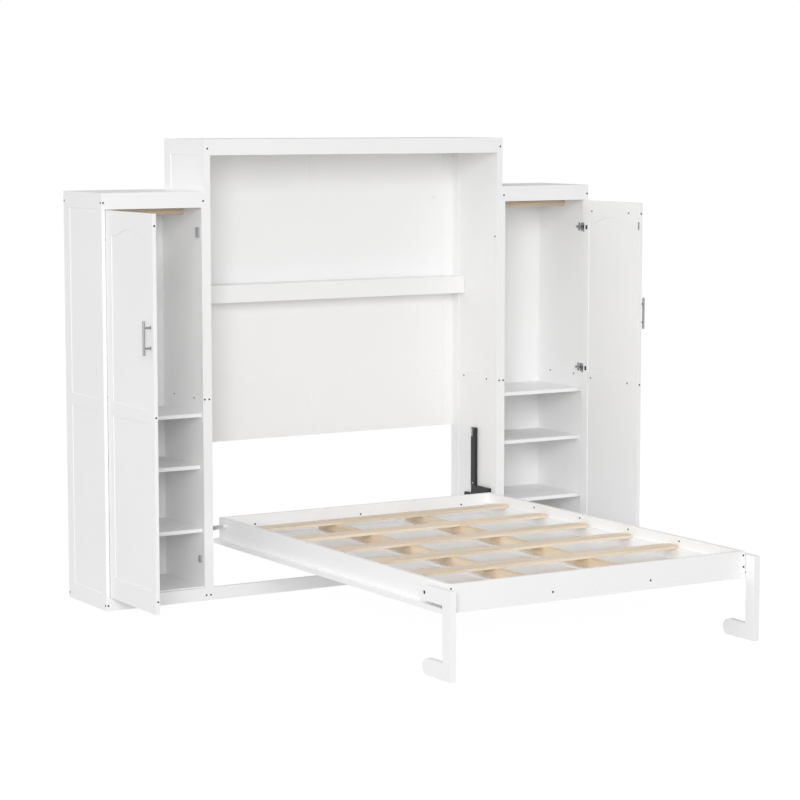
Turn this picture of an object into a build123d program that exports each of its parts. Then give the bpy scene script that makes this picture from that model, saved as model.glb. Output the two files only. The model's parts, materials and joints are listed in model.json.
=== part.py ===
"""Queen-size murphy wall bed: a tall centre cabinet, a wardrobe on each side, and a bed that
folds up into the centre.  The open bed lies wholly in front of the cabinet.

Frame: +X to the right, +Y towards the wall, +Z up.  The origin is on the floor, midway between
the two sides and midway between the feet of the open bed and the back of the cabinets.
Spans along Y are given from the front face of the cabinets and moved by `front`.
All sizes are in millimetres.
"""

import os
from math import atan2, degrees, hypot

from build123d import *

# ---- Mattress: everything about the bed follows from it --------------------------------------
mattress_width = 1524
mattress_length = 2032
mattress_play = 2

# ---- Centre cabinet --------------------------------------------------------------------------
depth = 432
centre_half = 850
centre_height = 2220
centre_side_thick = 30
board_thick = 18
top_rail_low = 2144
base_rail_height = 62
back_thick = 8
back_foot = 708
back_mid_rail = (970, 1030)
back_high_rail = (1881, 1941)
back_stile = 60
muntin_half = 34
back_panel_set_in = 2
back_panel_thick = 5
shelf_box_front = 307
shelf_box_span = (1412, 1499)
shelf_box_skin = 12

# ---- Wardrobes -------------------------------------------------------------------------------
wardrobe_width = 538
wardrobe_height = 1974
wardrobe_opening_top = 1897
wardrobe_floor_top = 68
floor_gap = 1
shelf_tops = (910, 656, 350)
shelf_fronts = (22, 42, 22)
cloth_rail_height = 1873
cloth_rail_depth = 200
cloth_rail_radius = 15

# ---- Framed look of the cabinet sides --------------------------------------------------------
front_stile = 60
rear_stile = 70
side_mid_rail = (948, 1008)
side_recess = 2

# ---- Doors, shown open at a right angle ------------------------------------------------------
door_gap = 2
door_thick = 18
door_span = (65, 1894)
door_stile = 60
door_panel_thick = 13
door_arch_shoulder = 1779
door_arch_top = 1814
door_arch_start = 92
door_arch_flare = 50
door_arch_crown = 80
door_mid_rail = (940, 1002)
door_bottom_rail_top = 170
handle_edge = 30
handle_span = (1253, 1412)
handle_posts = (1286, 1379)
handle_reach = 34
handle_radius = 6
handle_post_radius = 5
handle_rounding = 2

# ---- Door hinges and catches: sizes are along Y, then along Z --------------------------------
hinge_heights = (1755, 1018, 215)
hinge_plate_size = (36, 42)
hinge_plate_thick = 3
hinge_plate_middle = 41
hinge_arm_size = (44, 15)
hinge_arm_thick = 14
hinge_arm_middle = 45
hinge_flange_size = (18, 48)
hinge_flange_middle = -11
hinge_cup_size = (16, 22)
hinge_cup_middle = -39
door_fitting_thick = 2
strike_size = (12, 40)
strike_inset = 7
catch_height = 1778
catch_size = (28, 48)
catch_thick = 10
catch_middle = 35
low_catch_height = 201
low_catch_size = (24, 36)

# ---- Bed frame -------------------------------------------------------------------------------
rail_thick = 20
end_board_thick = 18
head_end = 6
panel_half = 815
panel_low = 278
panel_top = 300
rail_top = 400
slat_count = 6
slat_pitch = 352
first_slat = -180
slat_width = 96
slat_thick = 12
slat_top = 364
slat_half_length = 755
slat_corner = 36
beam_width = 41
beam_low = 309
beam_offset = 250
beam_foot_gap = 40
beam_head_end = -60
batten_span = (205, 295)
ledger_width = 30

# ---- Folding legs ----------------------------------------------------------------------------
leg_inner = 788
leg_outer = 818
leg_front = -2125
leg_post_back = -2065
leg_top = 384
leg_pivot = (-1924, 350)
leg_arm_radius = 34
leg_toe_height = 72
leg_toe_end = -1908
leg_bolt_radius = 6
leg_bolt_head_radius = 8
leg_bolt_head_thick = 3
leg_gap = 0.5

# ---- Swing arms and lift units ---------------------------------------------------------------
closed_foot = 68
arm_bed_pivot = (-60, 366)
arm_inner = 790
arm_outer = 798
arm_radius = 11
pin_radius = 6
shoulder_radius = 12
arm_gap = 1
running_clearance = 0.05
bracket_inner = 804
housing_inner = 802
housing_span_y = (180, 215)
housing_span_z = (412, 715)
bracket_nose = 48
bracket_chamfer = 60
bracket_top = 412
bracket_foot_y = 280
bracket_foot_top = 368
bracket_low = 262

# ---- Small fittings --------------------------------------------------------------------------
cap_radius = 4.5
cap_thick = 1
door_fixing_heights = (1839, 971, 125)
door_fixing_rows = (-86, -405)
top_fixing = 2176
wardrobe_fixing = 1928
mid_fixing = 978
foot_fixing = 26
side_fixing_inset = 11
mid_fixings = ((96, mid_fixing), (311, mid_fixing))
inner_wall_fixings = ((22, 1717), *mid_fixings)
foot_board_fixings = ((774, 381), (776, 329), (259, 318))
head_board_fixings = ((-597, 354), (0, 354), (597, 354))
rail_fixings = ((-427, 380), (-821, 380), (-1216, 380), (-1609, 380))
wall_bolt_radius = 4
wall_bolt_half_span = 700

# ---- Values that follow ----------------------------------------------------------------------
front = (-leg_front - depth) / 2
opening_half = centre_half - centre_side_thick
wardrobe_outer = centre_half + wardrobe_width
wardrobe_outer_in = wardrobe_outer - board_thick
wardrobe_inner_in = centre_half + board_thick
back_face = depth - back_thick
recess_middle = (front_stile + depth - rear_stile) / 2
centre_top_low = centre_height - board_thick
wardrobe_top_low = wardrobe_height - board_thick
rail_inner = mattress_width / 2 + mattress_play
rail_outer = rail_inner + rail_thick
foot_end = head_end - mattress_length - 2 * end_board_thick
slat_low = slat_top - slat_thick
hinge_x = wardrobe_outer_in - door_gap
door_width = hinge_x - wardrobe_inner_in - door_gap
last_slat = first_slat - (slat_count - 1) * slat_pitch
sides = (("left", -1), ("right", 1))

# The folded bed is the open bed turned a quarter turn about a pole.  Its underside becomes the
# cabinet's front face, and its head end stands just above the base rail.
pole_y = (closed_foot + head_end - panel_low) / 2
pole_z = (closed_foot + head_end + panel_low) / 2

# An arm that turns a quarter turn the opposite way carries its bed pivot between the same two
# places when it swings about this point on the cabinet.
arm_cabinet_pivot = (
    arm_bed_pivot[0] + arm_bed_pivot[1] - pole_z,
    pole_y + arm_bed_pivot[1] - arm_bed_pivot[0],
)


def save(piece, label):
    """Name a finished piece and write it."""
    piece.part.label = label
    export_step(piece.part, f"parts/{label}.step")


def mirrored(side, inner, outer):
    """The X span between two distances from the middle, on one side of it."""
    return tuple(sorted((side * inner, side * outer)))


def boards(label, *spans):
    """Square-edged boards that make one node, each given by its X, Y and Z spans."""
    with BuildPart() as group:
        for x, y, z in spans:
            with BuildSketch(Plane.XY.offset(z[0])):
                with Locations(((x[0] + x[1]) / 2, front + (y[0] + y[1]) / 2)):
                    Rectangle(x[1] - x[0], y[1] - y[0])
            extrude(amount=z[1] - z[0])
    save(group, label)


def framed_side(label, x, height, recesses, *faces):
    """A cabinet side with shallow recessed fields, like a frame and panel.  Each recessed face
    is given by its X and by the direction, 1 or -1, from it into the board."""
    with BuildPart() as panel:
        with BuildSketch(Plane.YZ.offset(x[0])):
            with Locations((front + depth / 2, height / 2)):
                Rectangle(depth, height)
        extrude(amount=x[1] - x[0])
        for face, inward in faces:
            with BuildSketch(Plane.YZ.offset(face)):
                for low, high in recesses:
                    with Locations((front + recess_middle, (low + high) / 2)):
                        Rectangle(depth - rear_stile - front_stile, high - low)
            extrude(amount=inward * side_recess, mode=Mode.SUBTRACT)
    save(panel, label)


def caps(label, *rows):
    """Round caps over fixings: each row gives the face's plane and the points on it."""
    with BuildPart() as group:
        for plane, points in rows:
            with BuildSketch(plane):
                with Locations(*points):
                    Circle(cap_radius)
            extrude(amount=cap_thick)
    save(group, label)


def facing_front(y):
    """A plane that looks out of the front at the distance y behind the cabinet front."""
    return Plane(origin=(0, front + y, 0), x_dir=(1, 0, 0), z_dir=(0, -1, 0))


def facing_side(x, side):
    """A plane square to X, looking left for side -1 and right for side 1.  Local (y, z) points
    are used on the right, and (-y, z) on the left."""
    return Plane(origin=(x, front, 0), x_dir=(0, side, 0), z_dir=(side, 0, 0))


def side_points(side, points):
    """Turn (y, z) points into the local points of a facing_side plane."""
    return [(side * y, z) for y, z in points]


def door_plane(x):
    """The plane of an open door, looking left: local x runs from the hinge line to the free
    edge, and local y is the height."""
    return Plane(origin=(x, front, 0), x_dir=(0, -1, 0), z_dir=(-1, 0, 0))


os.makedirs("parts", exist_ok=True)

# ==== Centre cabinet ==========================================================================
for name, side in sides:
    framed_side(
        f"centre_{name}_side",
        mirrored(side, opening_half, centre_half),
        centre_top_low,
        ((base_rail_height + board_thick, side_mid_rail[0]), (side_mid_rail[1], top_rail_low)),
        (side * opening_half, side),
        (side * centre_half, -side),
    )

boards("centre_top", ((-centre_half, centre_half), (0, depth), (centre_top_low, centre_height)))
boards(
    "centre_top_rail",
    ((-opening_half, opening_half), (0, board_thick), (top_rail_low, centre_top_low)),
)
boards(
    "base_rail",
    ((-opening_half, opening_half), (0, board_thick), (0, base_rail_height)),
    ((-wardrobe_outer_in, -wardrobe_inner_in), (0, board_thick), (0, base_rail_height)),
    ((wardrobe_inner_in, wardrobe_outer_in), (0, board_thick), (0, base_rail_height)),
)

with BuildPart() as back_frame:
    with BuildSketch(facing_front(back_face)):
        with Locations((0, (back_foot + centre_top_low) / 2)):
            Rectangle(2 * opening_half, centre_top_low - back_foot)
        field_half = opening_half - back_stile
        with Locations((0, (back_mid_rail[1] + back_high_rail[0]) / 2)):
            Rectangle(2 * field_half, back_high_rail[0] - back_mid_rail[1], mode=Mode.SUBTRACT)
        for low, high in ((back_foot, back_mid_rail[0]), (back_high_rail[1], top_rail_low)):
            for side in (-1, 1):
                with Locations((side * (muntin_half + field_half) / 2, (low + high) / 2)):
                    Rectangle(field_half - muntin_half, high - low, mode=Mode.SUBTRACT)
    extrude(amount=-back_thick)
    wall_bolt_rows = [sum(rail) / 2 for rail in (back_mid_rail, back_high_rail)]
    with Locations(facing_front(back_face)):
        with Locations(*[(s * wall_bolt_half_span, z) for s in (-1, 1) for z in wall_bolt_rows]):
            Hole(wall_bolt_radius)
save(back_frame, "centre_back_frame")

back_panel_front = back_face + back_panel_set_in
back_panel_y = (back_panel_front, back_panel_front + back_panel_thick)
boards(
    "centre_back_panels",
    ((-field_half, field_half), back_panel_y, (back_mid_rail[1], back_high_rail[0])),
    *[
        (mirrored(side, muntin_half, field_half), back_panel_y, band)
        for side in (-1, 1)
        for band in ((back_foot, back_mid_rail[0]), (back_high_rail[1], top_rail_low))
    ],
)

shelf_low, shelf_high = shelf_box_span
shelf_box_rear = (shelf_box_front + board_thick, back_face)
boards(
    "shelf_box",
    ((-opening_half, opening_half), (shelf_box_front, shelf_box_front + board_thick), shelf_box_span),
    ((-opening_half, opening_half), shelf_box_rear, (shelf_low, shelf_low + shelf_box_skin)),
    ((-opening_half, opening_half), shelf_box_rear, (shelf_high - shelf_box_skin, shelf_high)),
)

# ==== Lift units on the inner faces of the centre cabinet =====================================
for name, side in sides:
    wall = side * opening_half
    with BuildPart() as bracket:
        with BuildSketch(facing_side(wall, side)):
            with BuildLine():
                Polyline(
                    *side_points(
                        side,
                        (
                            (bracket_nose, bracket_low + bracket_chamfer),
                            (bracket_nose, bracket_top),
                            (housing_span_y[1], bracket_top),
                            (housing_span_y[1], bracket_foot_top),
                            (bracket_foot_y, bracket_foot_top),
                            (bracket_foot_y, bracket_low),
                            (bracket_nose + bracket_chamfer, bracket_low),
                        ),
                    ),
                    close=True,
                )
            make_face()
        extrude(amount=bracket_inner - opening_half)
        with BuildSketch(facing_side(side * bracket_inner, side)):
            with Locations(*side_points(side, (arm_cabinet_pivot,))):
                Circle(shoulder_radius)
        extrude(amount=arm_outer + arm_gap - bracket_inner)
        with BuildSketch(facing_side(side * (arm_outer + arm_gap), side)):
            with Locations(*side_points(side, (arm_cabinet_pivot,))):
                Circle(pin_radius)
        extrude(amount=arm_inner - arm_outer - 2 * arm_gap)
    save(bracket, f"{name}_lift_bracket")

    boards(
        f"{name}_lift_housing",
        (mirrored(side, housing_inner, opening_half), housing_span_y, housing_span_z),
    )

# ==== Swing arms ==============================================================================
arm_reach = (arm_cabinet_pivot[0] - arm_bed_pivot[0], arm_cabinet_pivot[1] - arm_bed_pivot[1])
arm_length = hypot(*arm_reach)
arm_middle = (
    (arm_cabinet_pivot[0] + arm_bed_pivot[0]) / 2,
    (arm_cabinet_pivot[1] + arm_bed_pivot[1]) / 2,
)
for name, side in sides:
    with BuildPart() as arm:
        with BuildSketch(facing_side(side * arm_inner, side)):
            with Locations(*side_points(side, (arm_middle,))):
                SlotCenterToCenter(
                    arm_length,
                    2 * arm_radius,
                    rotation=side * degrees(atan2(arm_reach[1], arm_reach[0])),
                )
            with Locations(*side_points(side, (arm_cabinet_pivot, arm_bed_pivot))):
                Circle(pin_radius + running_clearance, mode=Mode.SUBTRACT)
        extrude(amount=arm_outer - arm_inner)
    save(arm, f"{name}_swing_arm")

with BuildPart() as swing_pins:
    for side in (-1, 1):
        with BuildSketch(facing_side(side * rail_outer, side)):
            with Locations(*side_points(side, (arm_bed_pivot,))):
                Circle(shoulder_radius)
        extrude(amount=arm_inner - arm_gap - rail_outer)
        with BuildSketch(facing_side(side * (arm_inner - arm_gap), side)):
            with Locations(*side_points(side, (arm_bed_pivot,))):
                Circle(pin_radius)
        extrude(amount=arm_outer - arm_inner + 2 * arm_gap)
save(swing_pins, "swing_pins")

# ==== Wardrobes ===============================================================================
for name, side in sides:
    inside = mirrored(side, wardrobe_inner_in, wardrobe_outer_in)
    framed_side(
        f"{name}_wardrobe_outer_side",
        mirrored(side, wardrobe_outer_in, wardrobe_outer),
        wardrobe_top_low,
        (
            (base_rail_height + board_thick, side_mid_rail[0]),
            (side_mid_rail[1], wardrobe_opening_top),
        ),
        (side * wardrobe_outer, -side),
    )
    boards(
        f"{name}_wardrobe_inner_side",
        (mirrored(side, centre_half, wardrobe_inner_in), (0, depth), (0, wardrobe_top_low)),
    )
    boards(
        f"{name}_wardrobe_top",
        (
            mirrored(side, centre_half, wardrobe_outer),
            (0, depth),
            (wardrobe_top_low, wardrobe_height),
        ),
    )
    boards(
        f"{name}_wardrobe_top_rail",
        (inside, (0, board_thick), (wardrobe_opening_top, wardrobe_top_low)),
    )
    boards(f"{name}_wardrobe_back", (inside, (back_face, depth), (0, wardrobe_top_low)))
    boards(
        f"{name}_wardrobe_floor",
        (
            inside,
            (board_thick + floor_gap, back_face),
            (wardrobe_floor_top - board_thick, wardrobe_floor_top),
        ),
    )
    boards(
        f"{name}_wardrobe_shelves",
        *[
            (inside, (y, back_face), (top - board_thick, top))
            for y, top in zip(shelf_fronts, shelf_tops)
        ],
    )

    with BuildPart() as cloth_rail:
        with BuildSketch(Plane.YZ.offset(inside[0])):
            with Locations((front + cloth_rail_depth, cloth_rail_height)):
                Circle(cloth_rail_radius)
        extrude(amount=inside[1] - inside[0])
    save(cloth_rail, f"{name}_clothes_rail")

    with BuildPart() as hinge_plates:
        for height in hinge_heights:
            arm_base = wardrobe_outer_in - hinge_plate_thick
            with BuildSketch(facing_side(side * wardrobe_outer_in, -side)):
                with Locations(*side_points(-side, ((hinge_plate_middle, height),))):
                    Rectangle(*hinge_plate_size)
            extrude(amount=hinge_plate_thick)
            with BuildSketch(facing_side(side * arm_base, -side)):
                with Locations(*side_points(-side, ((hinge_arm_middle, height),))):
                    Rectangle(*hinge_arm_size)
            extrude(amount=hinge_arm_thick - hinge_plate_thick)
    save(hinge_plates, f"{name}_hinge_arms")

    with BuildPart() as catches:
        with BuildSketch(facing_side(side * wardrobe_inner_in, side)):
            with Locations(*side_points(side, ((catch_middle, catch_height),))):
                Rectangle(*catch_size)
        extrude(amount=catch_thick)
        with BuildSketch(facing_side(side * wardrobe_inner_in, side)):
            with Locations(*side_points(side, ((catch_middle, low_catch_height),))):
                SlotOverall(low_catch_size[1], low_catch_size[0], rotation=90)
        extrude(amount=catch_thick)
    save(catches, f"{name}_door_catches")

# ==== Doors ===================================================================================
with BuildSketch() as door_fields:
    with BuildLine():
        left_edge = Line((door_stile, door_mid_rail[1]), (door_stile, door_arch_shoulder))
        shoulder = Line(left_edge @ 1, (door_arch_start, door_arch_shoulder))
        rise = Bezier(
            shoulder @ 1,
            (door_arch_start + door_arch_flare, door_arch_shoulder),
            (door_width / 2 - door_arch_crown, door_arch_top),
            (door_width / 2, door_arch_top),
        )
        fall = Bezier(
            rise @ 1,
            (door_width / 2 + door_arch_crown, door_arch_top),
            (door_width - door_arch_start - door_arch_flare, door_arch_shoulder),
            (door_width - door_arch_start, door_arch_shoulder),
        )
        Polyline(
            fall @ 1,
            (door_width - door_stile, door_arch_shoulder),
            (door_width - door_stile, door_mid_rail[1]),
            left_edge @ 0,
        )
    make_face()
    with Locations((door_width / 2, (door_bottom_rail_top + door_mid_rail[0]) / 2)):
        Rectangle(door_width - 2 * door_stile, door_mid_rail[0] - door_bottom_rail_top)

for name, side in sides:
    face_right = max(side * hinge_x, side * (hinge_x - door_thick))
    with BuildPart() as door_frame:
        with BuildSketch(door_plane(face_right)):
            with Locations((door_width / 2, sum(door_span) / 2)):
                Rectangle(door_width, door_span[1] - door_span[0])
            add(door_fields.sketch, mode=Mode.SUBTRACT)
        extrude(amount=door_thick)
    save(door_frame, f"{name}_door_frame")

    with BuildPart() as door_panels:
        with BuildSketch(door_plane(face_right - (door_thick - door_panel_thick) / 2)):
            add(door_fields.sketch)
        extrude(amount=door_panel_thick)
    save(door_panels, f"{name}_door_panels")

    outer_face = side * hinge_x
    inner_face = side * (hinge_x - door_thick)
    handle_y = handle_edge - door_width
    with BuildPart() as handle:
        with BuildSketch(facing_side(outer_face, side)):
            with Locations(*side_points(side, [(handle_y, z) for z in handle_posts])):
                Circle(handle_post_radius)
        extrude(amount=handle_reach)
        with BuildSketch(Plane.XY.offset(handle_span[0])):
            with Locations((outer_face + side * handle_reach, front + handle_y)):
                Circle(handle_radius)
        extrude(amount=handle_span[1] - handle_span[0])
        fillet(handle.edges().group_by(Axis.Z)[0], handle_rounding)
        fillet(handle.edges().group_by(Axis.Z)[-1], handle_rounding)
    save(handle, f"{name}_door_handle")

    with BuildPart() as fittings:
        with BuildSketch(facing_side(inner_face, -side)):
            for height in hinge_heights:
                with Locations(*side_points(-side, ((hinge_flange_middle, height),))):
                    Rectangle(*hinge_flange_size)
                with Locations(*side_points(-side, ((hinge_cup_middle, height),))):
                    Rectangle(*hinge_cup_size)
            with Locations(*side_points(-side, ((strike_inset - door_width, catch_height),))):
                Rectangle(*strike_size)
        extrude(amount=door_fitting_thick)
    save(fittings, f"{name}_door_fittings")

    caps(
        f"{name}_door_caps",
        (
            facing_front(-door_width),
            [(side * (hinge_x - door_thick / 2), z) for z in door_fixing_heights],
        ),
        (
            facing_side(inner_face, -side),
            side_points(-side, [(y, z) for y in door_fixing_rows for z in door_fixing_heights]),
        ),
    )

# ==== Bed frame ===============================================================================
boards("bed_panel", ((-panel_half, panel_half), (foot_end, head_end), (panel_low, panel_top)))
for name, side in sides:
    boards(
        f"bed_{name}_rail",
        (mirrored(side, rail_inner, rail_outer), (foot_end, head_end), (panel_top, rail_top)),
    )
boards(
    "bed_head_board",
    ((-rail_inner, rail_inner), (head_end - end_board_thick, head_end), (panel_top, rail_top)),
)
boards(
    "bed_foot_board",
    ((-rail_inner, rail_inner), (foot_end, foot_end + end_board_thick), (panel_top, rail_top)),
)

inside_foot = foot_end + end_board_thick
inside_head = head_end - end_board_thick
inside_span = (inside_foot, inside_head)
boards(
    "bed_ledgers",
    *[
        (mirrored(side, rail_inner - ledger_width, rail_inner), inside_span, (panel_top, slat_low))
        for side in (-1, 1)
    ],
)
boards(
    "bed_battens",
    *[
        (mirrored(side, batten_span[0], batten_span[1]), inside_span, (panel_top, beam_low))
        for side in (-1, 1)
    ],
)
boards(
    "bed_beams",
    *[
        (
            mirrored(side, beam_offset - beam_width / 2, beam_offset + beam_width / 2),
            (inside_foot + beam_foot_gap, beam_head_end),
            (beam_low, slat_low),
        )
        for side in (-1, 1)
    ],
)

with BuildPart() as slats:
    with BuildSketch(Plane.XY.offset(slat_low)):
        with Locations((0, front + (first_slat + last_slat) / 2)):
            with GridLocations(0, slat_pitch, 1, slat_count):
                RectangleRounded(2 * slat_half_length, slat_width, slat_corner)
    extrude(amount=slat_thick)
save(slats, "bed_slats")

# ==== Folding legs ============================================================================
for name, side in sides:
    leg_face = side * leg_outer
    with BuildPart() as leg:
        with BuildSketch(facing_side(side * leg_inner, side)):
            arm_low = leg_pivot[1] - leg_arm_radius
            post_middle = (leg_front + leg_post_back) / 2
            toe_radius = leg_toe_height / 2
            with Locations(*side_points(side, ((post_middle, leg_top / 2),))):
                Rectangle(leg_post_back - leg_front, leg_top)
            with Locations(*side_points(side, (((leg_front + leg_pivot[0]) / 2, leg_pivot[1]),))):
                Rectangle(leg_pivot[0] - leg_front, 2 * leg_arm_radius)
            with Locations(*side_points(side, (leg_pivot,))):
                Circle(leg_arm_radius)
            toe_centre = leg_toe_end - toe_radius
            with Locations(*side_points(side, (((leg_front + toe_centre) / 2, toe_radius),))):
                Rectangle(toe_centre - leg_front, leg_toe_height)
            with Locations(*side_points(side, ((toe_centre, toe_radius),))):
                Circle(toe_radius)
        extrude(amount=leg_outer - leg_inner)
        with Locations(facing_side(leg_face, side)):
            with Locations(*side_points(side, (leg_pivot,))):
                CounterBoreHole(
                    leg_bolt_radius + running_clearance,
                    leg_bolt_head_radius + leg_gap,
                    leg_bolt_head_thick + 2 * leg_gap,
                )
    save(leg, f"{name}_leg")

with BuildPart() as leg_bolts:
    for side in (-1, 1):
        head_low = leg_outer - leg_bolt_head_thick - leg_gap
        with BuildSketch(facing_side(side * rail_outer, side)):
            with Locations(*side_points(side, (leg_pivot,))):
                Circle(shoulder_radius)
        extrude(amount=leg_inner - leg_gap - rail_outer)
        with BuildSketch(facing_side(side * (leg_inner - leg_gap), side)):
            with Locations(*side_points(side, (leg_pivot,))):
                Circle(leg_bolt_radius)
        extrude(amount=head_low + leg_gap - leg_inner)
        with BuildSketch(facing_side(side * head_low, side)):
            with Locations(*side_points(side, (leg_pivot,))):
                Circle(leg_bolt_head_radius)
        extrude(amount=leg_bolt_head_thick)
save(leg_bolts, "leg_bolts")

# ==== Caps over the fixings ===================================================================
side_middle = (opening_half + centre_half) / 2
wardrobe_inner_middle = (centre_half + wardrobe_inner_in) / 2
wardrobe_outer_middle = (wardrobe_outer_in + wardrobe_outer) / 2
front_caps = [
    (side * x, z)
    for side in (-1, 1)
    for x, z in (
        (side_middle, top_fixing),
        (side_middle, mid_fixing),
        (wardrobe_inner_middle, mid_fixing),
        (side_middle, foot_fixing),
        (wardrobe_inner_middle, foot_fixing),
        (wardrobe_inner_middle, wardrobe_fixing),
        (wardrobe_outer_middle, wardrobe_fixing),
        (wardrobe_outer_middle, foot_fixing),
    )
]
outer_side_caps = [
    (y, z)
    for y in (side_fixing_inset, depth - side_fixing_inset)
    for z in (foot_fixing, wardrobe_fixing)
]
caps(
    "cabinet_caps",
    (facing_front(0), front_caps),
    *[
        (facing_side(side * wardrobe_outer, side), side_points(side, outer_side_caps))
        for side in (-1, 1)
    ],
    *[
        (
            facing_side(side * opening_half, -side),
            side_points(-side, inner_wall_fixings),
        )
        for side in (-1, 1)
    ],
    *[
        (facing_side(side * wardrobe_inner_in, side), side_points(side, mid_fixings))
        for side in (-1, 1)
    ],
    *[
        (facing_side(side * wardrobe_outer_in, -side), side_points(-side, mid_fixings))
        for side in (-1, 1)
    ],
)

caps(
    "bed_caps",
    (facing_front(foot_end), [(s * x, z) for s in (-1, 1) for x, z in foot_board_fixings]),
    (facing_front(inside_head), head_board_fixings),
    *[
        (facing_side(side * rail_inner, -side), side_points(-side, rail_fixings))
        for side in (-1, 1)
    ],
)
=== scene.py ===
"""Materials, fittings, light and camera for the murphy wall bed.

Everything is in metres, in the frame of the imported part: +X right, +Y to the wall, +Z up.
"""

import json
import math

import bmesh
import bpy
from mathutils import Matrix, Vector


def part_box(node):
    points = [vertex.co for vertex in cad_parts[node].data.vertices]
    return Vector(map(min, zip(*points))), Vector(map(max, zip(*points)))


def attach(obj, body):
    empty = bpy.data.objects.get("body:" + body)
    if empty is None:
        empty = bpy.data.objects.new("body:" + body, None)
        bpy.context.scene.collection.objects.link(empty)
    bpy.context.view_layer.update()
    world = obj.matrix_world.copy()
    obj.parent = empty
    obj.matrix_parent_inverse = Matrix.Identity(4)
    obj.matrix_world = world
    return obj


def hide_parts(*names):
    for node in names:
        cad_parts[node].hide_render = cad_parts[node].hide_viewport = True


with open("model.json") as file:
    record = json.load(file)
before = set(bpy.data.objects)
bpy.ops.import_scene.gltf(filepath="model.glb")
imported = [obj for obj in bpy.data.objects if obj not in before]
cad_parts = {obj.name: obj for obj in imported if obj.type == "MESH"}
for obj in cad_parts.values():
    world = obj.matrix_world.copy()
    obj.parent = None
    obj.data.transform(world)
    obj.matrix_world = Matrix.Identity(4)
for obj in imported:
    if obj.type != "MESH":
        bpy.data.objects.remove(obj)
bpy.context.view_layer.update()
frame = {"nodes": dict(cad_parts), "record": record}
nodes = frame["nodes"]
scene = bpy.context.scene

# ---- Camera ----------------------------------------------------------------------------------
lens = bpy.data.cameras.new("camera")
lens.lens = 113.47
lens.sensor_width = 36.0
camera = bpy.data.objects.new("camera", lens)
camera.location = (-6.3195, -9.8970, 2.3319)
camera.rotation_euler = (math.radians(83.563), 0.0, math.radians(-31.396))
scene.collection.objects.link(camera)
scene.camera = camera

# ---- Materials -------------------------------------------------------------------------------


def new_material(name, roughness, **sockets):
    """A material with its node tree, its links and its shader, and any shader sockets set."""
    material = bpy.data.materials.new(name)
    material.use_nodes = True
    tree = material.node_tree
    shader = tree.nodes["Principled BSDF"]
    shader.inputs["Roughness"].default_value = roughness
    for socket, value in sockets.items():
        shader.inputs[socket.replace("_", " ")].default_value = value
    return material, tree, shader


def stretched(tree, scale):
    """Coordinates fixed to the piece, stretched along each axis."""
    coordinates = tree.nodes.new("ShaderNodeTexCoord")
    mapping = tree.nodes.new("ShaderNodeMapping")
    mapping.inputs["Scale"].default_value = scale
    tree.links.new(coordinates.outputs["Object"], mapping.inputs["Vector"])
    return mapping.outputs["Vector"]


def noise(tree, vector, scale, detail=4.0, roughness=0.55, distortion=0.0):
    node = tree.nodes.new("ShaderNodeTexNoise")
    node.inputs["Scale"].default_value = scale
    node.inputs["Detail"].default_value = detail
    node.inputs["Roughness"].default_value = roughness
    node.inputs["Distortion"].default_value = distortion
    tree.links.new(vector, node.inputs["Vector"])
    return node.outputs["Fac"]


def ramp(tree, value, *stops):
    """A colour ramp over `value`, from (position, colour) stops."""
    node = tree.nodes.new("ShaderNodeValToRGB")
    band = node.color_ramp
    while len(band.elements) < len(stops):
        band.elements.new(0.5)
    for element, (position, colour) in zip(band.elements, stops):
        element.position = position
        element.color = (*colour, 1.0)
    tree.links.new(value, node.inputs["Fac"])
    return node.outputs["Color"]


def spread(tree, value, low, high):
    """`value`, taken from about 0.3-0.7 to `low`-`high`."""
    node = tree.nodes.new("ShaderNodeMapRange")
    node.inputs["From Min"].default_value = 0.3
    node.inputs["From Max"].default_value = 0.7
    node.inputs["To Min"].default_value = low
    node.inputs["To Max"].default_value = high
    tree.links.new(value, node.inputs["Value"])
    return node.outputs["Result"]


def multiplied(tree, first, second):
    """Two colours multiplied together."""
    node = tree.nodes.new("ShaderNodeMix")
    node.data_type = "RGBA"
    node.blend_type = "MULTIPLY"
    node.inputs["Factor"].default_value = 1.0
    tree.links.new(first, node.inputs["A"])
    tree.links.new(second, node.inputs["B"])
    return node.outputs["Result"]


def bump(tree, shader, height, strength, distance):
    node = tree.nodes.new("ShaderNodeBump")
    node.inputs["Strength"].default_value = strength
    node.inputs["Distance"].default_value = distance
    tree.links.new(height, node.inputs["Height"])
    tree.links.new(node.outputs["Normal"], shader.inputs["Normal"])


def painted(name, colour, roughness, texture=260.0, depth=0.00012, vary=0.012):
    """Sprayed paint or powder coat: a fine orange peel with a slight drift in tone and gloss."""
    material, tree, shader = new_material(name, roughness)
    place = stretched(tree, (1.0, 1.0, 1.0))
    drift = noise(tree, place, 1.7, detail=3.0)
    darker = tuple(c * (1.0 - vary) for c in colour)
    lighter = tuple(min(1.0, c * (1.0 + vary)) for c in colour)
    tone = ramp(tree, drift, (0.3, darker), (0.7, lighter))
    tree.links.new(tone, shader.inputs["Base Color"])
    gloss = spread(tree, noise(tree, place, 9.0), roughness - 0.04, roughness + 0.04)
    tree.links.new(gloss, shader.inputs["Roughness"])
    bump(tree, shader, noise(tree, place, texture, detail=2.0), 0.25, depth)
    return material


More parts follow.
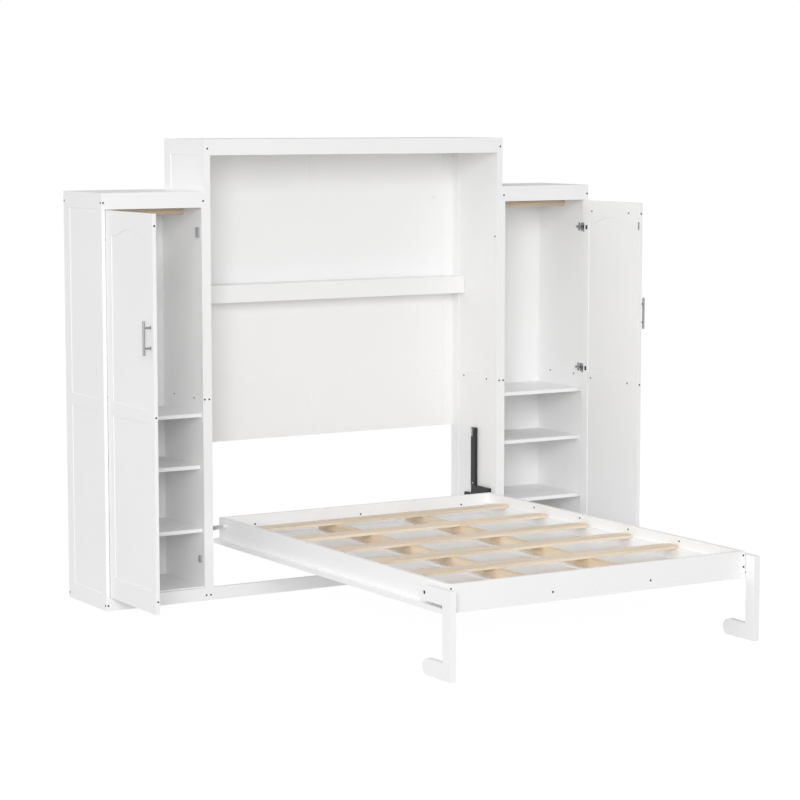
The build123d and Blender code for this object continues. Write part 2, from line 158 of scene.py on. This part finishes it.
def timber(name, grain_axis, light, dark, roughness=0.55):
    """Planed softwood whose grain runs along one axis, with growth rings and fine pores."""
    material, tree, shader = new_material(name, roughness)
    long_scale = [1.0, 1.0, 1.0]
    long_scale[grain_axis] = 0.06
    place = stretched(tree, long_scale)
    rings = noise(tree, place, 26.0, detail=5.0, roughness=0.62, distortion=0.6)
    fibre = noise(tree, place, 210.0, detail=3.0, roughness=0.7)
    board = noise(tree, stretched(tree, (0.9, 3.1, 0.9)), 1.0, detail=1.0)
    middle = tuple((a + b) / 2 for a, b in zip(light, dark))
    figure = ramp(tree, rings, (0.32, dark), (0.47, middle), (0.60, light), (0.72, middle))
    drift = ramp(tree, board, (0.35, (0.90, 0.90, 0.90)), (0.65, (1.0, 1.0, 1.0)))
    pores = ramp(tree, fibre, (0.36, (0.93, 0.93, 0.93)), (0.56, (1.0, 1.0, 1.0)))
    pored = multiplied(tree, multiplied(tree, figure, drift), pores)
    tree.links.new(pored, shader.inputs["Base Color"])
    gloss = spread(tree, rings, roughness - 0.06, roughness + 0.08)
    tree.links.new(gloss, shader.inputs["Roughness"])
    bump(tree, shader, fibre, 0.3, 0.0004)
    return material


def brushed(name, colour, roughness, brush_axis):
    """Bare metal brushed along one axis."""
    material, tree, shader = new_material(name, roughness, Metallic=1.0)
    long_scale = [1.0, 1.0, 1.0]
    long_scale[brush_axis] = 0.03
    lines = noise(tree, stretched(tree, long_scale), 900.0, detail=3.0, roughness=0.7)
    darker = tuple(c * 0.86 for c in colour)
    tone = ramp(tree, lines, (0.35, darker), (0.65, colour))
    tree.links.new(tone, shader.inputs["Base Color"])
    gloss = spread(tree, lines, roughness - 0.06, roughness + 0.08)
    tree.links.new(gloss, shader.inputs["Roughness"])
    bump(tree, shader, lines, 0.2, 0.0001)
    return material


white_paint = painted("white_paint", (0.955, 0.955, 0.955), 0.42)
arm_paint = painted("arm_paint", (0.86, 0.86, 0.86), 0.38, texture=700.0)
powder_coat = painted("black_powder_coat", (0.018, 0.018, 0.019), 0.50, texture=900.0, depth=0.0002)
slat_timber = timber("slat_timber", 0, (0.93, 0.80, 0.65), (0.81, 0.66, 0.49))
beam_timber = timber("beam_timber", 1, (0.88, 0.74, 0.57), (0.74, 0.58, 0.41))
rail_timber = timber("rail_timber", 0, (0.84, 0.69, 0.51), (0.70, 0.54, 0.37), roughness=0.42)
brushed_steel = brushed("brushed_steel", (0.40, 0.405, 0.41), 0.32, 2)
zinc = brushed("zinc_plate", (0.55, 0.55, 0.56), 0.36, 1)
moulded = painted("moulded_plastic", (0.42, 0.42, 0.43), 0.48, texture=500.0)
cap_black = painted("cap_plastic", (0.02, 0.02, 0.02), 0.45, texture=800.0)
black_oxide = painted("black_oxide", (0.018, 0.018, 0.02), 0.35, texture=800.0)

finishes = {
    "white_board": white_paint,
    "arm_steel": arm_paint,
    "lift_steel": powder_coat,
    "slat_timber": slat_timber,
    "rail_timber": rail_timber,
    "handle_steel": brushed_steel,
    "bright_steel": zinc,
    "catch_plastic": moulded,
    "dark_cap": cap_black,
    "black_bolt": black_oxide,
}

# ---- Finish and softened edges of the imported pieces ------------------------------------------
edge_radius = {
    "white_board": 0.0006,
    "arm_steel": 0.0008,
    "lift_steel": 0.0014,
    "slat_timber": 0.0016,
    "rail_timber": 0.0006,
    "handle_steel": 0.0006,
    "bright_steel": 0.0005,
    "catch_plastic": 0.0022,
    "dark_cap": 0.0004,
    "black_bolt": 0.0006,
}
sharp_angle = 40
weld_distance = 0.00002


def soften(piece, radius):
    """Rounds the sharp edges of a piece."""
    bevel = piece.modifiers.new("bevel", "BEVEL")
    bevel.width = radius
    bevel.segments = 2
    bevel.limit_method = "ANGLE"
    bevel.angle_limit = math.radians(sharp_angle)
    piece.modifiers.new("normals", "WEIGHTED_NORMAL").keep_sharp = True


for subpart in frame["record"]["subparts"]:
    label = subpart["node"]
    slot_name = subpart["material_slot"]
    node = nodes[label]
    node.data.materials.clear()
    node.data.materials.append(beam_timber if label == "bed_beams" else finishes[slot_name])
    if label != "centre_back_frame":
        node.modifiers.new("weld", "WELD").merge_threshold = weld_distance
        soften(node, edge_radius[slot_name])

# ---- Small fittings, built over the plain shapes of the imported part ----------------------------
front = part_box("centre_top")[0].y
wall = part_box("right_wardrobe_outer_side")[0].x
hinge_heights = (1.755, 1.018, 0.215)
handle_posts = (1.286, 1.379)
catch_height = 1.778
bracket_plate = 0.804


def box(shape, low, high, finish=0):
    """A box between two corners, given in any order."""
    made = bmesh.ops.create_cube(shape, size=1.0)["verts"]
    low, high = Vector(map(min, low, high)), Vector(map(max, low, high))
    for vertex in made:
        vertex.co = Vector((high[i] if vertex.co[i] > 0 else low[i]) for i in range(3))
    for face in {face for vertex in made for face in vertex.link_faces}:
        face.material_index = finish


def turned(shape, centre, axis, profile, finish=0, segments=32):
    """A turned shape: `profile` gives (distance along the axis, radius), and it starts and ends
    on the axis."""
    frame_of_axis = Vector(axis).to_track_quat("Z", "Y").to_matrix()
    rings = []
    for along, radius in profile:
        ring = []
        for step in range(segments):
            angle = 2 * math.pi * step / segments
            local = Vector((radius * math.cos(angle), radius * math.sin(angle), along))
            ring.append(shape.verts.new(Vector(centre) + frame_of_axis @ local))
        rings.append(ring)
    faces = [
        shape.faces.new((low[i], low[(i + 1) % segments], high[(i + 1) % segments], high[i]))
        for low, high in zip(rings, rings[1:])
        for i in range(segments)
    ]
    faces.append(shape.faces.new(rings[0][::-1]))
    faces.append(shape.faces.new(rings[-1]))
    for face in faces:
        face.material_index = finish


def screw(shape, centre, axis, radius, finish=0):
    """A pan-head screw with a sunk drive."""
    height = 0.45 * radius
    turned(
        shape,
        centre,
        axis,
        (
            (0.0, radius),
            (0.5 * height, radius),
            (0.9 * height, 0.75 * radius),
            (height, 0.42 * radius),
            (0.4 * height, 0.36 * radius),
        ),
        finish,
        24,
    )


def fitting(name, shape, body, finishes_used, radius=0.0005, stands_for=()):
    """Turns a bmesh into a piece with softened edges that rides on a body."""
    bmesh.ops.recalc_face_normals(shape, faces=shape.faces)
    mesh = bpy.data.meshes.new(name)
    shape.to_mesh(mesh)
    shape.free()
    piece = bpy.data.objects.new(name, mesh)
    scene.collection.objects.link(piece)
    for finish in finishes_used:
        mesh.materials.append(finish)
    for polygon in mesh.polygons:
        polygon.use_smooth = True
    soften(piece, radius)
    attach(piece, body)
    for label in stands_for:
        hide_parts(label)


for name, side in (("left", -1), ("right", 1)):
    inward = (-side, 0.0, 0.0)

    def at(out_from_wall, y, z):
        """A point a little way in from the wardrobe's outer side."""
        return (side * (wall - out_from_wall), front + y, z)

    hinges = bmesh.new()
    for z in hinge_heights:
        box(hinges, at(0.0, 0.0235, z - 0.0210), at(0.0025, 0.0360, z + 0.0210))
        box(hinges, at(0.0, 0.0360, z - 0.0120), at(0.0025, 0.0460, z + 0.0120))
        box(hinges, at(0.0, 0.0460, z - 0.0210), at(0.0025, 0.0585, z + 0.0210))
        for edge in (-0.0075, 0.0055):
            box(hinges, at(0.0025, 0.0235, z + edge), at(0.0125, 0.0560, z + edge + 0.0020))
        box(hinges, at(0.0115, 0.0235, z - 0.0070), at(0.0135, 0.0560, z + 0.0070))
        box(hinges, at(0.0025, 0.0540, z - 0.0055), at(0.0125, 0.0665, z + 0.0055))
        box(hinges, at(0.0030, 0.0250, z - 0.0050), at(0.0110, 0.0310, z + 0.0050), 1)
        for y in (0.0300, 0.0520):
            for drop in (-0.0155, 0.0155):
                screw(hinges, at(0.0025, y, z + drop), inward, 0.0034, 1)
        screw(hinges, at(0.0130, 0.0330, z), inward, 0.0028, 1)
        screw(hinges, at(0.0130, 0.0480, z), inward, 0.0034, 1)
    fitting(
        f"{name}_hinge_set",
        hinges,
        "cabinet",
        (zinc, black_oxide),
        0.0004,
        (f"{name}_hinge_arms",),
    )

    door_low, door_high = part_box(f"{name}_door_frame")
    inner_face = door_low.x if side > 0 else door_high.x
    outer_face = door_high.x if side > 0 else door_low.x
    free_edge = door_low.y - front

    def on_door(out_from_face, y, z):
        """A point a little way out from the inner face of the open door."""
        return (inner_face - side * out_from_face, front + y, z)

    cups = bmesh.new()
    for z in hinge_heights:
        box(cups, on_door(0.0, -0.0200, z - 0.0240), on_door(0.0014, -0.0030, z + 0.0240))
        box(cups, on_door(0.0, -0.0175, z - 0.0110), on_door(0.0019, -0.0050, z + 0.0110), 1)
        for drop in (-0.0175, 0.0175):
            screw(cups, on_door(0.0012, -0.0115, z + drop), inward, 0.0018, 1)
        box(cups, on_door(0.0, -0.0465, z - 0.0110), on_door(0.0012, -0.0315, z + 0.0110), 1)
    strike = free_edge + 0.007
    box(
        cups,
        on_door(0.0, strike - 0.006, catch_height - 0.020),
        on_door(0.0014, strike + 0.006, catch_height + 0.020),
    )
    screw(cups, on_door(0.0012, strike, catch_height), inward, 0.0018, 1)
    fitting(
        f"{name}_door_hardware",
        cups,
        f"{name}_door",
        (zinc, black_oxide),
        0.0003,
        (f"{name}_door_fittings",),
    )

    posts = bmesh.new()
    handle_low, handle_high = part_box(f"{name}_door_handle")
    handle_y = (handle_low.y + handle_high.y) / 2
    for z in handle_posts:
        turned(
            posts,
            (outer_face, handle_y, z),
            (side, 0.0, 0.0),
            ((0.0, 0.0085), (0.0012, 0.0085), (0.0026, 0.0062), (0.0034, 0.0050)),
        )
    fitting(
        f"{name}_handle_collars", posts, f"{name}_door", (brushed_steel,), 0.0003
    )

    catch_low, catch_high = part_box(f"{name}_door_catches")
    catch_face = catch_high.x if side > 0 else catch_low.x
    tongues = bmesh.new()
    middle_y = (catch_low.y + catch_high.y) / 2
    for drop in (-0.012, 0.012):
        box(
            tongues,
            (catch_face - side * 0.006, catch_low.y - 0.0015, catch_height + drop - 0.0015),
            (catch_face - side * 0.001, catch_low.y + 0.004, catch_height + drop + 0.0015),
        )
    screw(tongues, (catch_face - side * 0.0004, middle_y, catch_height), (side, 0.0, 0.0), 0.0034)
    fitting(f"{name}_catch_tongues", tongues, "cabinet", (zinc,), 0.0003)

    housing_low, housing_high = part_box(f"{name}_lift_housing")
    housing_face = housing_low.x if side > 0 else housing_high.x
    fixings = bmesh.new()
    column_y = (housing_low.y + housing_high.y) / 2
    for y, z in (
        (housing_high.y - 0.008, housing_high.z - 0.014),
        (housing_high.y - 0.008, housing_high.z - 0.034),
        (column_y, housing_low.z + 0.012),
    ):
        screw(fixings, (housing_face, y, z), inward, 0.0052)
    box(
        fixings,
        (housing_face, housing_high.y - 0.015, housing_high.z - 0.046),
        (housing_face - side * 0.0008, housing_high.y - 0.001, housing_high.z - 0.004),
    )
    bracket_low, bracket_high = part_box(f"{name}_lift_bracket")
    plate_face = bracket_plate * side
    for y, z in ((bracket_low.y + 0.016, bracket_high.z - 0.018), (bracket_high.y - 0.02, 0.352)):
        screw(fixings, (plate_face, y, z), inward, 0.0050, 1)
    fitting(
        f"{name}_lift_fixings", fixings, "cabinet", (zinc, black_oxide), 0.0003
    )

# ---- Floor and light -------------------------------------------------------------------------
floor_mesh = bpy.data.meshes.new("floor")
shape = bmesh.new()
bmesh.ops.create_grid(shape, x_segments=1, y_segments=1, size=60.0)
shape.to_mesh(floor_mesh)
shape.free()
floor = bpy.data.objects.new("floor", floor_mesh)
floor.location.z = -0.0005
scene.collection.objects.link(floor)
floor_paint, floor_tree, floor_shader = new_material("floor_paint", 0.9)
floor_shader.inputs["Base Color"].default_value = (0.12, 0.12, 0.12, 1.0)
floor_shader.inputs["Specular IOR Level"].default_value = 0.0
floor_shader.inputs["Emission Color"].default_value = (1.0, 1.0, 1.0, 1.0)
floor_shader.inputs["Emission Strength"].default_value = 0.93
floor_mesh.materials.append(floor_paint)
floor.visible_diffuse = False
floor.visible_shadow = False

world = bpy.data.worlds.new("studio")
world.use_nodes = True
world_tree = world.node_tree
surround = world_tree.nodes["Background"]
surround.inputs["Color"].default_value = (1.0, 1.0, 1.0, 1.0)
surround.inputs["Strength"].default_value = 0.48
backdrop = world_tree.nodes.new("ShaderNodeBackground")
backdrop.inputs["Color"].default_value = (1.0, 1.0, 1.0, 1.0)
backdrop.inputs["Strength"].default_value = 1.0
rays = world_tree.nodes.new("ShaderNodeLightPath")
seen = world_tree.nodes.new("ShaderNodeMixShader")
world_tree.links.new(rays.outputs["Is Camera Ray"], seen.inputs["Fac"])
world_tree.links.new(surround.outputs["Background"], seen.inputs[1])
world_tree.links.new(backdrop.outputs["Background"], seen.inputs[2])
world_tree.links.new(seen.outputs["Shader"], world_tree.nodes["World Output"].inputs["Surface"])
scene.world = world


def softbox(name, place, target, size, power):
    """A large soft area light at `place`, facing `target`."""
    light = bpy.data.lights.new(name, "AREA")
    light.size = size
    light.energy = power
    lamp = bpy.data.objects.new(name, light)
    lamp.location = place
    aim = Vector(target) - Vector(place)
    lamp.rotation_euler = aim.to_track_quat("-Z", "Y").to_euler()
    scene.collection.objects.link(lamp)


def sky_light(name, towards, strength, softness):
    """A distant, very soft light shining from the direction `towards`."""
    light = bpy.data.lights.new(name, "SUN")
    light.energy = strength
    light.angle = math.radians(softness)
    lamp = bpy.data.objects.new(name, light)
    lamp.rotation_euler = Vector(towards).to_track_quat("Z", "Y").to_euler()
    scene.collection.objects.link(lamp)


softbox("key", (-9.2, -13.7, 5.4), (0.0, 0.9, 1.2), 6.4, 1420.0)
sky_light("side_fill", (-0.65, 0.0, 0.76), 0.68, 70.0)

scene.view_settings.view_transform = "Standard"
scene.view_settings.look = "None"
